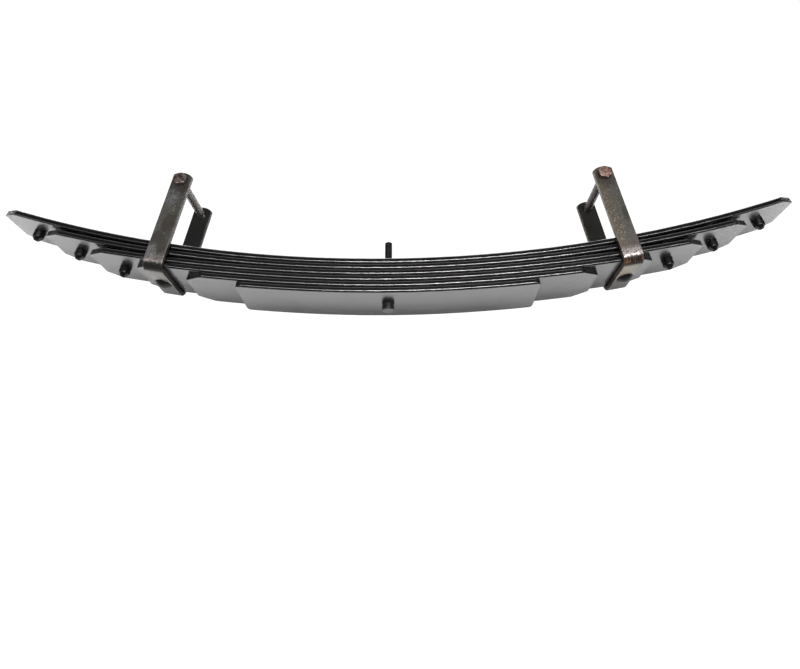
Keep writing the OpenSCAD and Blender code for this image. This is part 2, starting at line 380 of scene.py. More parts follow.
def hexagon(name, af, h, chamfer_top):
    """Hexagonal block from z = 0 to h. Its corners are turned off at 30 degrees."""
    turn = [math.radians(30 + 60 * i) for i in range(6)]
    r = af / 2 / math.cos(math.radians(30))
    ring = [(r * math.cos(a), r * math.sin(a)) for a in turn]
    points = [(x, y, 0) for x, y in ring] + [(x, y, h) for x, y in ring]
    faces = [list(range(5, -1, -1)), list(range(6, 12))]
    faces += [[i, (i + 1) % 6, 6 + (i + 1) % 6, 6 + i] for i in range(6)]
    obj = clean(new_object(name, points, faces))
    flat = af / 2 * 0.96          # radius of the round face that the chamfer leaves
    far = af
    rise = (far - flat) * math.tan(math.radians(30))
    profile = [(0, 0), (flat, 0), (far, rise)]
    if chamfer_top:
        profile += [(far, h - rise), (flat, h), (0, h)]
    else:
        profile += [(far, h + 1), (0, h + 1)]
    return boolean(obj, "INTERSECT", [lathe(name + "_cone", profile, 96)])


# ---------------------------------------------------------------- shader tools

class Nodes:
    """Short names for building one material's nodes."""

    def __init__(self, name):
        self.material = bpy.data.materials.new(name)
        self.material.use_nodes = True
        self.tree = self.material.node_tree
        self.shader = self.tree.nodes["Principled BSDF"]

    def add(self, kind, **settings):
        node = self.tree.nodes.new(kind)
        for key, value in settings.items():
            setattr(node, key, value)
        return node

    def put(self, node, socket, value):
        target = node.inputs[socket]
        if isinstance(value, bpy.types.NodeSocket):
            self.tree.links.new(value, target)
        else:
            target.default_value = value

    def stored(self, name):
        """A number that store() kept for each point."""
        return self.add("ShaderNodeAttribute", attribute_name=name).outputs["Fac"]

    def stored_vector(self, name):
        return self.add("ShaderNodeAttribute", attribute_name=name).outputs["Vector"]

    def object_co(self):
        return self.add("ShaderNodeTexCoord").outputs["Object"]

    def split(self, vector):
        node = self.add("ShaderNodeSeparateXYZ")
        self.put(node, 0, vector)
        return node.outputs

    def scaled(self, vector, scale):
        node = self.add("ShaderNodeVectorMath", operation="MULTIPLY")
        self.put(node, 0, vector)
        self.put(node, 1, scale)
        return node.outputs[0]

    def noise(self, vector, scale, detail=3.0, rough=0.55, distortion=0.0):
        node = self.add("ShaderNodeTexNoise")
        self.put(node, "Vector", vector)
        self.put(node, "Scale", scale)
        self.put(node, "Detail", detail)
        self.put(node, "Roughness", rough)
        self.put(node, "Distortion", distortion)
        return node.outputs["Fac"]

    def ramp(self, value, low, high, out_low=0.0, out_high=1.0):
        """Smooth step of value from low to high."""
        node = self.add("ShaderNodeMapRange", interpolation_type="SMOOTHSTEP")
        self.put(node, "Value", value)
        self.put(node, "From Min", low)
        self.put(node, "From Max", high)
        self.put(node, "To Min", out_low)
        self.put(node, "To Max", out_high)
        return node.outputs[0]

    def math(self, operation, a, b=0.0):
        node = self.add("ShaderNodeMath", operation=operation)
        self.put(node, 0, a)
        if operation not in ("ABSOLUTE", "SQRT"):
            self.put(node, 1, b)
        return node.outputs[0]

    def times(self, *values):
        out = values[0]
        for value in values[1:]:
            out = self.math("MULTIPLY", out, value)
        return out

    def mix(self, factor, a, b):
        node = self.add("ShaderNodeMix", data_type="RGBA")
        self.put(node, 0, factor)
        for socket, value in ((6, a), (7, b)):
            if isinstance(value, tuple) and len(value) == 3:
                value = (*value, 1.0)
            self.put(node, socket, value)
        return node.outputs[2]

    def blend(self, factor, a, b):
        node = self.add("ShaderNodeMix", data_type="FLOAT")
        self.put(node, 0, factor)
        self.put(node, 2, a)
        self.put(node, 3, b)
        return node.outputs[0]

    def bump(self, height, distance, strength):
        node = self.add("ShaderNodeBump")
        self.put(node, "Height", height)
        self.put(node, "Distance", distance)
        self.put(node, "Strength", strength)
        return node.outputs[0]

    def surface(self, **values):
        """Sets the shader's sockets, named with _ for each space, and gives the material."""
        for key, value in values.items():
            if isinstance(value, tuple) and len(value) == 3:
                value = (*value, 1.0)
            self.put(self.shader, key.replace("_", " "), value)
        return self.material


# ---------------------------------------------------------------- materials

def leaf_paint():
    """Satin black paint over rolled steel, grainy and a little worn on the rolled edges, with
    bare steel on the sheared edges and ends lightened into a painted highlight.
    """
    m = Nodes("leaf_paint")
    co = m.stored_vector("leaf_co")
    wear = m.stored("wear")
    rim = m.stored("rim")
    along = m.scaled(co, (0.25, 1.0, 1.0))
    mottle = m.noise(co, 22.0, 4.0, 0.6)
    fine = m.noise(along, 900.0, 2.0)
    grit = m.noise(m.scaled(co, (0.55, 1.0, 1.0)), 620.0, 3.0, 0.6)
    specks = m.ramp(m.noise(co, 260.0, 1.0), 0.74, 0.79)
    streak = m.ramp(m.noise(m.scaled(co, (6.0, 60.0, 60.0)), 9.0, 2.0), 0.70, 0.78)
    bare = m.times(wear, m.ramp(m.noise(co, 140.0, 3.0), 0.42, 0.60))

    black = (0.0055, 0.0055, 0.0058)
    soft_black = (0.010, 0.0097, 0.0093)
    rubbed = (0.020, 0.019, 0.018)
    dust = (0.010, 0.009, 0.008)
    edge_steel_and_highlight = (0.30, 0.28, 0.26)
    base = m.mix(mottle, black, soft_black)
    base = m.mix(m.times(rim, m.ramp(grit, 0.5, 0.68), 0.5), base, rubbed)
    base = m.mix(m.times(specks, 0.5), base, dust)
    # Bare steel on the sheared edges and ends: partly real wear, partly a painted highlight
    # along them
    base = m.mix(m.times(bare, 0.55), base, edge_steel_and_highlight)

    rough = m.blend(mottle, 0.20, 0.29)
    rough = m.math("ADD", rough, m.times(m.math("SUBTRACT", fine, 0.5), 0.10))
    rough = m.math("ADD", rough, m.times(streak, 0.06))
    rough = m.math("SUBTRACT", rough, m.times(rim, 0.07))
    height = m.math("ADD", m.times(fine, 0.12), m.times(grit, m.blend(rim, 0.05, 0.8)))
    normal = m.bump(height, 0.00035, 0.5)
    return m.surface(Base_Color=base, Roughness=rough, Normal=normal,
                     Metallic=m.times(bare, 0.3), Specular_IOR_Level=0.8)


def strap_steel(name, tones, worn, copper, crease_low, pale, dark, flecks):
    """Thin dark paint over hot rolled bar, mottled, and worn through where it bends. Painted
    shade darkens the far leg, the bend's outside, the side faces, the leg round the bolt's
    head (with grime) and the floor round the rivet.

    tones are the paint's colours, worn is how bare the leg's foot is, copper is how red the
    bend's crease is, and crease_low is the height in mm that the crease starts at. pale,
    dark and flecks are patches on the near leg: height, place across, half height, half
    width, all in mm.
    """
    m = Nodes(name)
    co = m.stored_vector("strap_co")
    wear = m.stored("wear")
    s, v, w = m.split(co)
    up = m.math("SUBTRACT", m.math("ABSOLUTE", s), LEG_ZERO * MM)
    near = m.ramp(s, 0.001, -0.001)
    outer = m.ramp(w, 0.0, 0.001)
    long = m.scaled(co, (0.35, 1.0, 1.0))
    blotch = m.noise(long, 62.0, 5.0, 0.62, 0.5)
    cloud = m.noise(co, 33.0, 3.0, 0.5)
    grit = m.noise(co, 800.0, 3.0, 0.6)
    lines = m.noise(m.scaled(co, (0.10, 1.0, 1.0)), 620.0, 3.0, 0.6)
    specks = m.noise(co, 520.0, 2.0, 0.5)
    ragged = m.noise(co, 210.0, 4.0, 0.65)
    black = (0.010, 0.010, 0.010)

    def patch(height, across, half_height, half_width, soft=1.3):
        y = m.math("DIVIDE", m.math("SUBTRACT", up, height * MM), half_height * MM)
        x = m.math("DIVIDE", m.math("SUBTRACT", v, across * MM), half_width * MM)
        d = m.math("ADD", m.times(x, x), m.times(y, y))
        d = m.math("ADD", d, m.times(m.math("SUBTRACT", blotch, 0.5), 2.6))
        d = m.math("ADD", d, m.times(m.math("SUBTRACT", ragged, 0.5), 3.4))
        return m.times(m.ramp(d, soft, 0.4), near)

    # Mottled paint, with painted shade that darkens the far leg almost to black
    across = m.math("ADD", v, m.times(m.math("SUBTRACT", cloud, 0.5), 0.03))
    base = m.mix(m.ramp(across, -0.010, 0.008), tones[0], tones[1])
    base = m.mix(m.ramp(blotch, 0.42, 0.62, 0.0, 0.45), base, tones[2])
    base = m.mix(m.ramp(specks, 0.55, 0.70, 0.0, 0.35), base, (0.30, 0.28, 0.25))
    base = m.mix(m.ramp(specks, 0.46, 0.34, 0.0, 0.55), base, (0.02, 0.018, 0.015))
    # Painted shade: the far leg is darkened almost to black
    base = m.mix(m.ramp(near, 0.0, 1.0, 0.86, 0.0), base, black)

    # Painted shade and grime round the bolt's head, then the dark, pale and flecked patches
    bolt_shade_and_grime = patch(CLAMP_BOLT_Z - 3.0, 0.0, 17.0, 15.0)
    # Painted contact shade, with some grime, on the leg round the bolt's head
    base = m.mix(m.times(bolt_shade_and_grime, 0.7), base, (0.022, 0.018, 0.015))
    for place in dark:
        base = m.mix(m.times(patch(*place, 1.7), 0.9), base, (0.030, 0.021, 0.010))
    streaks = m.times(m.ramp(lines, 0.34, 0.62), m.ramp(ragged, 0.32, 0.60))
    for place in pale:
        base = m.mix(m.times(patch(*place, 2.2), streaks), base, (0.26, 0.265, 0.275))
    bright = m.math("MAXIMUM", m.ramp(specks, 0.60, 0.68), m.ramp(lines, 0.63, 0.69))
    for place in flecks:
        base = m.mix(m.times(patch(*place), bright), base, (0.62, 0.50, 0.34))

    # Bare steel at the leg's foot, painted shade and copper in the bend, painted contact shade
    # round the rivet
    leg = m.ramp(up, 0.001, 0.004)
    band = m.times(leg, m.ramp(up, 0.022, 0.008), near)
    scuffed = m.math("ADD", band, m.times(m.math("SUBTRACT", lines, 0.5), 1.6))
    bare = m.times(m.ramp(scuffed, 0.35, 0.95), m.ramp(specks, 0.36, 0.54), worn)
    from_rivet = m.math("SQRT", m.math("ADD", m.times(s, s), m.times(v, v)))
    # Painted contact shade on the strap round the rivet's head
    base = m.mix(m.ramp(from_rivet, 12.6 * MM, 10.9 * MM), base, (0.010, 0.009, 0.008))
    shaded_bend = m.times(m.ramp(up, -0.0085, -0.0055), m.ramp(up, 0.0045, 0.001), outer)
    crease = m.times(m.ramp(up, crease_low * MM, (crease_low + 3) * MM), outer, near,
                     m.ramp(up, 0.0085, 0.006))
    crease = m.times(crease, m.ramp(lines, 0.44, 0.60), m.ramp(ragged, 0.42, 0.56))
    # Painted shade: the outside of the bend is darkened almost to black
    base = m.mix(m.times(shaded_bend, 0.93), base, (0.010, 0.008, 0.007))
    base = m.mix(m.times(crease, copper), base, (0.36, 0.14, 0.07))
    base = m.mix(bare, base, (0.60, 0.55, 0.52))

    # Worn edges, and painted shade on the side faces
    edge = m.times(wear, m.ramp(m.noise(co, 190.0, 3.0), 0.42, 0.60), 0.5)
    base = m.mix(edge, base, (0.36, 0.25, 0.19))
    shaded_sides = m.ramp(m.math("ABSOLUTE", v), (STRAP_W / 2 - 0.5) * MM, (STRAP_W / 2 - 0.1) * MM)
    shaded_sides = m.times(shaded_sides, m.ramp(m.math("ABSOLUTE", w), 2.9 * MM, 2.3 * MM))
    # Painted shade darkens the side faces almost to black
    base = m.mix(m.times(shaded_sides, 0.9), base, (0.009, 0.008, 0.008))

    metal = m.math("MAXIMUM", bare, m.times(edge, 0.6))
    metal = m.times(metal, m.math("SUBTRACT", 1.0, shaded_sides))
    rough = m.blend(metal, m.blend(cloud, 0.34, 0.5), 0.34)
    gloss = m.times(m.blend(shaded_bend, 0.7, 0.25), m.blend(near, 0.45, 1.0))
    height = m.math("ADD", m.times(grit, 0.5), m.times(blotch, 1.2))
    normal = m.bump(height, 0.00028, 0.5)
    return m.surface(Base_Color=base, Roughness=rough, Normal=normal,
                     Metallic=m.times(metal, 0.7), Specular_IOR_Level=gloss)


def bolt_steel(name, light, dark, cream, shank):
    """Worn plated steel, reddish with old rust on the head, painted shade on the head's sides,
    and darker on the shank.
    """
    m = Nodes(name)
    co = m.object_co()
    y = m.split(co)[1]
    head = m.ramp(y, -(LEG_OUT - 0.6) * MM, -(LEG_OUT + 0.4) * MM)
    front_y = LEG_OUT + REST_GAP + CLAMP_HEAD_H
    face = m.ramp(y, -(front_y - 1.1) * MM, -(front_y - 0.4) * MM)
    wide = m.noise(co, 190.0, 3.0, 0.6, 0.6)
    grit = m.noise(co, 900.0, 2.0)
    worn = m.noise(m.scaled(co, (1.0, 0.25, 1.0)), 120.0, 3.0)

    head_tone = m.mix(m.ramp(wide, 0.40, 0.58), dark, light)
    head_tone = m.mix(m.ramp(m.noise(co, 310.0, 3.0), 0.56, 0.68), head_tone, cream)
    # Painted shade darkens the head's sides, leaving its front face light
    head_tone = m.mix(m.math("SUBTRACT", 1.0, face), head_tone, (0.05, 0.036, 0.03))
    shank_tone = m.mix(m.ramp(worn, 0.45, 0.75, 0.0, 0.6), shank, (0.03, 0.026, 0.023))
    base = m.mix(head, shank_tone, head_tone)

    rough = m.blend(grit, 0.36, 0.46)
    height = m.math("ADD", wide, m.times(grit, 0.3))
    normal = m.bump(m.times(height, m.blend(head, 0.12, 1.0)), 0.00015, 0.4)
    return m.surface(Base_Color=base, Roughness=rough, Normal=normal,
                     Metallic=m.blend(head, 0.6, 0.35))


def dark_steel(name, low, high, rough_low, rough_high, hammered, gloss):
    """Dark forged or rolled steel with a trace of oil. hammered is its relief in metres."""
    m = Nodes(name)
    co = m.object_co()
    wide = m.noise(co, 240.0, 3.0, 0.6)
    grit = m.noise(co, 1300.0, 2.0)
    base = m.mix(m.ramp(wide, 0.35, 0.65), low, high)
    normal = m.bump(m.math("ADD", wide, m.times(grit, 0.3)), hammered, 0.5)
    return m.surface(Base_Color=base, Roughness=m.blend(wide, rough_low, rough_high),
                     Normal=normal, Specular_IOR_Level=gloss)


def pad_plastic():
    """Moulded black plastic with a faint orange-peel and dust."""
    m = Nodes("pad_plastic")
    co = m.object_co()
    peel = m.noise(co, 700.0, 2.0)
    wide = m.noise(co, 90.0, 3.0)
    dust = m.ramp(m.noise(co, 480.0, 3.0), 0.62, 0.74)
    base = m.mix(wide, (0.006, 0.006, 0.0065), (0.011, 0.011, 0.011))
    base = m.mix(m.times(dust, 0.3), base, (0.06, 0.058, 0.054))
    rough = m.math("ADD", m.blend(wide, 0.13, 0.22), m.times(dust, 0.2))
    normal = m.bump(m.math("ADD", m.times(peel, 0.3), wide), 0.0001, 0.35)
    return m.surface(Base_Color=base, Roughness=rough, Normal=normal, Specular_IOR_Level=0.3)


PAINT = leaf_paint()
STRAP_STEEL = {
    LEFT: strap_steel(
        "strap_steel_left",
        ((0.092, 0.089, 0.084), (0.060, 0.056, 0.050), (0.082, 0.076, 0.054)),
        worn=0.28, copper=0.95, crease_low=3.5,
        pale=((97, -5, 11, 8), (14, -7, 12, 7)),
        dark=((36, -2, 11, 10), (25, 6, 10, 7), (60, 4, 16, 9), (118, 7, 10, 6)),
        flecks=((80, 3, 7, 4), (1.5, 3, 2.2, 13)),
    ),
    RIGHT: strap_steel(
        "strap_steel_right",
        ((0.148, 0.108, 0.060), (0.088, 0.080, 0.064), (0.122, 0.098, 0.062)),
        worn=0.9, copper=0.7, crease_low=-5.0,
        pale=((9, 0, 7, 16),),
        dark=((62, 9, 12, 4),),
        flecks=((60, -6, 16, 5), (88, -9, 12, 3), (40, -5, 14, 5), (6, 0, 6, 14)),
    ),
}
BOLT_STEEL = {
    LEFT: bolt_steel(
        "clamp_bolt_steel_left",
        light=(0.19, 0.135, 0.125), dark=(0.045, 0.03, 0.028),
        cream=(0.34, 0.27, 0.24), shank=(0.11, 0.10, 0.095),
    ),
    RIGHT: bolt_steel(
        "clamp_bolt_steel_right",
        light=(0.47, 0.32, 0.27), dark=(0.20, 0.085, 0.06),
        cream=(0.66, 0.56, 0.45), shank=(0.045, 0.038, 0.034),
    ),
}
STUD_STEEL = dark_steel(
    "centre_bolt_steel", low=(0.012, 0.011, 0.010), high=(0.034, 0.031, 0.029),
    rough_low=0.28, rough_high=0.42, hammered=0.0001, gloss=0.35,
)
RIVET_STEEL = dark_steel(
    "rivet_steel", low=(0.005, 0.005, 0.005), high=(0.012, 0.011, 0.011),
    rough_low=0.26, rough_high=0.40, hammered=0.0009, gloss=0.15,
)
PLASTIC = pad_plastic()


# ---------------------------------------------------------------- leaves

EDGE_R = 2.7                  # rounding of a rolled edge
CUT_R = 0.45                  # rounding of a sheared edge
HOLE_RIM = 0.5                # chamfer round a leaf's holes
RING_STEP = 3.0               # distance between rings along a leaf
BEND_FROM = 90.0              # distance from the centre bolt where the bending starts
TAIL = 13.0                   # how far past a pad's stem a stretch of leaf runs
REACH_IN = 16.0               # leaf held by a clamp or a pad, either side of it
UNDER_STRAP = 11.0            # how far past a clamp's middle the next stretch starts
STIFF_START = 5.0             # how far a stretch runs before it starts to bend
LEAST_STRETCH = 24.0          # a shorter rest of a leaf joins the stretch before it
EDGE_DIP = 0.08               # mean unevenness of a rolled edge
WORN_IN = 1.2                 # how far wear reaches in from a sheared edge
WORN_DOWN = 0.7               # and down from a wide face
CRISP = 24                    # turn in degrees that keeps a trimmed face's border sharp

# Depths of the points through a leaf, close together where its edge is rolled
DRAWN_IN = np.array([0, 0.06, 0.16, 0.30, 0.5, 0.8, 1.2, 1.7, 2.2, EDGE_R])
LEVELS = np.concatenate([DRAWN_IN - LEAF_T / 2, [-0.6, 0.6], LEAF_T / 2 - DRAWN_IN[::-1]])
# Places of the points across a leaf, as shares of its half width inside the edge
COLUMNS = np.array([-1, -0.975, -0.93, -0.8, -0.6, -0.4, -0.2, 0,
                    0.2, 0.4, 0.6, 0.8, 0.93, 0.975, 1])
# Rings past the start of a trimmed corner, and angles of those round the last leaf's corner
TRIM_RINGS = (0, 0.2, 0.5, 0.9, 1.5, 2.2, 3.0, 3.8, 4.6, 6, 8, 10, 12, 14, 16, 18, 20,
              21.5, 22.3)
CORNER_RINGS = (0, 10, 20, 30, 40, 50, 60, 68, 76, 83)
UNCUT = 1e3                   # half width that limits nothing


def half_width(n, s, reach):
    """Half width that the cut corners leave at distance s."""
    left = reach - s
    if n <= TRIMMED:
        trimmed = LEAF_W / 2 - TRIM_W * (1 - left / TRIM_LEN)
        return np.where(left < TRIM_LEN, trimmed, UNCUT)
    r = SHORT_CORNER_R
    into = np.clip(r - left, 0, r)
    rounded = LEAF_W / 2 - r + np.sqrt(np.maximum(r * r - into**2, 0))
    return np.where(left < r, rounded, UNCUT)


def ring_places(n, a, b, reach):
    """Distances of the rings from a to b, closer together where a corner is cut."""
    places = list(np.linspace(a, b, max(2, int(round((b - a) / RING_STEP)) + 1)))
    if b == reach:
        cut = TRIM_LEN if n <= TRIMMED else SHORT_CORNER_R
        places = [p for p in places if p < reach - cut]
        if n <= TRIMMED:
            places += [reach - cut + d for d in TRIM_RINGS]
        else:
            places += [reach - cut + cut * math.sin(math.radians(d)) for d in CORNER_RINGS]
        places.append(reach)
    return np.array(places)


def leaf_holes(side, n, a, b):
    """Cutters for the hole, if any, that leaf n has between a and b."""
    h = LEAF_T / 2
    if n < CLAMPED and a < pad_at(side, n) < b:
        at = pad_at(side, n)
        r = STEM_D / 2 + FIT_GAP
        upper = [(r, h - HOLE_RIM), (r + HOLE_RIM + PAST, h + PAST)]
    elif n == CLAMPED and a < CLAMP[side] < b:
        at = CLAMP[side]
        r = RIVET_D / 2 + FIT_GAP
        sunk = RIVET_SUNK_D / 2 + FIT_GAP
        upper = [(r, h - (sunk - r)), (sunk + PAST, h + PAST)]
    else:
        return []
    lower = [(0, -h - PAST), (r + HOLE_RIM + PAST, -h - PAST), (r, -h + HOLE_RIM)]
    hole = lathe("hole", lower + upper + [(0, h + PAST)])
    shift(hole, at, 0, LEAF_GAP / 2 - (n - 0.5) * PITCH)
    return [hole]


def leaf_piece(side, n, part, a, b):
    """One stretch of a leaf, from a to b."""
    reach = REACH[side][n - 1]
    places = ring_places(n, a, b, reach)
    at_tip = b == reach
    half = LEAF_W / 2
    top = -(n - 1) * PITCH

    def shape(i, j, k):
        s, w = places[i], LEVELS[k]
        cut = rounding(w, LEAF_T / 2, CUT_R)
        limit = np.minimum(half - rounding(w, LEAF_T / 2, EDGE_R),
                           half_width(n, s, reach) - cut)
        v = np.clip(COLUMNS[j] * (half - EDGE_R), -limit, limit)
        edge = (j == 0) | (j == len(COLUMNS) - 1)
        v = np.where(edge, np.sign(COLUMNS[j]) * limit, v)
        if at_tip:
            s = np.where(i == len(places) - 1, s - cut, s)
        return np.stack([s, v, w - LEAF_T / 2 + top], -1)

    name = f"leaf_{n}_{SIDES[side]}_{part}"
    obj = block(name, len(places), len(COLUMNS), len(LEVELS), shape)
    holes = leaf_holes(side, n, a, b)
    if holes:
        boolean(obj, "DIFFERENCE", holes)
        clean(obj)

    # How close each point is to a rolled edge, a sheared edge, the end and a wide face
    flat = points_of(obj)
    s, v, w = flat.T
    rolled = np.clip(1 - (half - np.abs(v)) / (EDGE_R + 0.6), 0, 1)
    sheared = np.clip(1 - (half_width(n, s, reach) - np.abs(v)) / WORN_IN, 0, 1)
    end = np.clip(1 - (reach - s) / WORN_IN, 0, 1) if at_tip else np.zeros_like(s)
    depth = w + LEAF_T / 2 - top
    near_face = np.clip(1 - (LEAF_T / 2 - np.abs(depth)) / WORN_DOWN, 0, 1)
    store(obj, "leaf_co", np.stack([side * s + 13.0 * n, v, w], -1) * MM)
    store(obj, "rim", np.clip(rolled * 1.6, 0, 1) * (sheared < 0.05))
    store(obj, "wear", np.maximum(sheared, end) * near_face)

    uneven = np.array([noise.noise(Vector((p[0] * 0.16 + 40 * n, p[1] * 0.5, p[2] * 0.45)))
                       for p in flat])
    dip = np.clip(rolled * 1.5, 0, 1) * (EDGE_DIP + EDGE_DIP * uneven)
    flat[:, 1] -= np.sign(v) * dip
    set_points(obj, on_leaf(side, n, flat[:, 0], flat[:, 1], flat[:, 2]))
    face_outwards(obj)
    finish_piece(obj, None, None, f"leaf_{n}", PAINT, CRISP)
    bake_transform(obj)


def stretches(side):
    """A half's stretches: the bodies before and after, its ends, and where it bends."""
    body = f"{SIDES[side]}_clamp"
    cut = CLAMP[side] + UNDER_STRAP
    found = [("centre", body, 0.0, cut, BEND_FROM, CLAMP[side] - REACH_IN)]
    for n in (3, 2, 1):
        last, body = body, f"{SIDES[side]}_tip_{n}"
        at = pad_at(side, n)
        found.append((last, body, cut, at + TAIL, cut + STIFF_START, at - REACH_IN))
        cut = at + TAIL
    return found


def half_leaf(side, n):
    """Leaf n from the centre bolt to one end, as stretches named a to d."""
    reach = REACH[side][n - 1]
    for part, (first, second, a, b, bend_from, bend_to) in zip("abcd", stretches(side)):
        if reach - b < LEAST_STRETCH or part == "d":
            b = reach
        leaf_piece(side, n, part, a, b)
        if b == reach:
            return


for side in SIDES:
    for n in range(1, 7):
        half_leaf(side, n)


# ---------------------------------------------------------------- centre bolt and nuts

def centre_bolt():
    r = CENTRE_D / 2
    head = CENTRE_HEAD_D / 2
    top = STACK_H + CENTRE_STUD_H
    rim_r = 1.3                   # rounding of the head's lower rim
    seat_r = 0.4                  # and of its upper rim, against the leaf
    before = [(0, -CENTRE_HEAD_H + 0.15), (head * 0.55, -CENTRE_HEAD_H)]
    before += arc(head - rim_r, -CENTRE_HEAD_H + rim_r, rim_r, -90, 0, 7)
    before += [(head, -0.5)] + arc(head - seat_r, -seat_r, seat_r, 0, 90, 4)
    before += [(r - 0.25, 0), (r - 0.25, STACK_H - 1), (r - 0.02, STACK_H - 0.4)]
    after = [(r - 0.65, top - 0.9), (r - 1.3, top - 0.15), (r - 1.8, top), (0, top)]
    obj = thread("centre_bolt_detailed", before, r, STACK_H - 0.2, top - 1.3, CENTRE_PITCH,
                 after)
    finish_piece(obj, None, "centre", "centre_bolt", STUD_STEEL, 50)


def nut(name, af, h, bore):
    obj = hexagon(name, af, h, chamfer_top=True)
    r = bore / 2 + 0.02
    mouth = 0.6                   # depth of the chamfer at each end of the bore
    past = 1.0                    # how far the cutter runs past the faces
    wide = bore / 2 + past + mouth
    profile = [(0, -past), (wide, -past), (r, mouth), (r, h - mouth), (wide, h + past),
               (0, h + past)]
    boolean(obj, "DIFFERENCE", [lathe("bore", profile)])
    clean(obj)
    return bevel(obj, 0.12)


def centre_nut():
    obj = nut("centre_nut_detailed", CENTRE_NUT_AF, CENTRE_NUT_H, CENTRE_D)
    seat = Matrix.Translation((0, 0, STACK_H + REST_GAP))
    finish_piece(obj, seat, "centre", "centre_nut", STUD_STEEL)


# ---------------------------------------------------------------- clamps

STRAP_RIM_R = 1.0             # rounding of the strap's rolled edges
STRAP_DIP = 0.12              # greatest unevenness of the strap's faces
RIVET_DIP = 0.22              # and of the rivet's hammered head
HEX_TURN = {LEFT: 8, RIGHT: -3}     # degrees that each clamp bolt is turned by


def fold(points):
    """Bends a straight strap, along local X, into its U shape. Z is away from the leaves."""
    s, v, w = points.T
    d = np.abs(s)
    past_floor = d > FLOOR_HALF
    leg = d > LEG_FOOT
    bent = np.where(past_floor, (d - FLOOR_HALF) / BEND_R, 0)
    angle = np.where(leg, math.pi / 2, bent)

    def at_radius(radius, floor_z):
        y = np.minimum(d, FLOOR_HALF) + np.where(past_floor, np.sin(angle) * radius, 0)
        z = np.where(past_floor, STRAP_BEND_R - np.cos(angle) * radius, floor_z)
        return y, np.where(leg, STRAP_BEND_R + (d - LEG_FOOT), z)

    y, z = at_radius(BEND_R + w, -STRAP_T / 2 - w)
    # The bend's outside is wider than its inside, so the skin is drawn in to that arc.
    skin_y, skin_z = at_radius(STRAP_BEND_R + STRAP_T, -STRAP_T)
    from_y = np.clip(skin_y - (LEG_OUT - STRAP_OUTER_R), 0, None)
    from_z = np.clip(STRAP_OUTER_R - STRAP_T - skin_z, 0, None)
    excess = 1 - STRAP_OUTER_R / np.maximum(np.hypot(from_y, from_z), STRAP_OUTER_R)
    share = np.clip(w / STRAP_T + 0.5, 0, 1) * excess
    return np.stack([v, np.sign(s) * (y - share * from_y), z + share * from_z], -1)


def straight_strap(name):
    """The strap before it is bent: along X, with round ends and rolled edges."""
    half_t, half_w = STRAP_T / 2, STRAP_W / 2
    drawn = np.array([0, 0.08, 0.22, 0.45, 0.7, STRAP_RIM_R])
    levels = np.concatenate([drawn - half_t, [0], half_t - drawn[::-1]])
    columns = np.array([-1, -0.94, -0.8, -0.6, -0.4, -0.2, 0, 0.2, 0.4, 0.6, 0.8, 0.94, 1])
    plain = np.concatenate([np.arange(0, FLOOR_HALF - 6, 3.0),
                            np.linspace(FLOOR_HALF - 5, LEG_FOOT + 5, 22),
                            np.arange(LEG_FOOT + 8, LEG_FOOT + ARC_Z + 8, 3.0)])
    plain = np.concatenate([-plain[:0:-1], plain])
    tip_from = plain[-1]
    shares = np.array([0.35, 0.7, 0.9, 1.0])
    places = np.concatenate([-(tip_from + shares[::-1]), plain, tip_from + shares])

    def shape(i, j, k):
        w = levels[k]
        inset = rounding(w, half_t, STRAP_RIM_R)
        v = columns[j] * (half_w - inset)
        s = places[i]
        end = LEG_ZERO + ARC_Z + np.sqrt((LEG_TOP_R - inset) ** 2 - v * v)
        beyond = np.clip(np.abs(s) - tip_from, 0, 1)
        s = np.where(beyond > 0, np.sign(s) * (tip_from + beyond * (end - tip_from)), s)
        return np.stack([s, v, w], -1)

    return block(name, len(places), len(columns), len(levels), shape)


def clamp_strap(side):
    label = SIDES[side]
    half_t, half_w = STRAP_T / 2, STRAP_W / 2
    obj = straight_strap(f"{label}_clamp_strap_detailed")
    rim = 0.4                     # chamfer round the holes
    cutters = []
    for s, r in ((0.0, RIVET_D / 2 + 2 * FIT_GAP),
                 (LEG_ZERO + CLAMP_BOLT_Z, CLAMP_BOLT_D / 2 + FIT_GAP),
                 (-LEG_ZERO - CLAMP_BOLT_Z, CLAMP_BOLT_D / 2 + FIT_GAP)):
        wide, high = r + rim + PAST, half_t + PAST
        hole = lathe("hole", [(0, -high), (wide, -high), (r, -half_t + rim),
                              (r, half_t - rim), (wide, high), (0, high)])
        shift(hole, s, 0, 0)
        cutters.append(hole)
    boolean(obj, "DIFFERENCE", cutters)
    clean(obj)

    flat = points_of(obj)
    s, v, w = flat.T
    from_edge = np.minimum(half_w - np.abs(v), LEG_ZERO + TIP_Z - np.abs(s))
    store(obj, "strap_co", flat * MM)
    store(obj, "wear", np.clip(1 - (from_edge + (half_t - np.abs(w))) / 1.7, 0, 1))
    uneven = np.array([noise.noise(Vector((p[0] * 0.07, p[1] * 0.1, side * 9.0 + p[2] * 0.02)))
                       for p in flat])
    flat[:, 2] -= STRAP_DIP * (0.5 + 0.5 * uneven) * np.sign(w)
    set_points(obj, fold(flat))
    face_outwards(obj)
    finish_piece(obj, at_clamp(side), f"{label}_clamp", f"{label}_clamp_strap",
                 STRAP_STEEL[side])


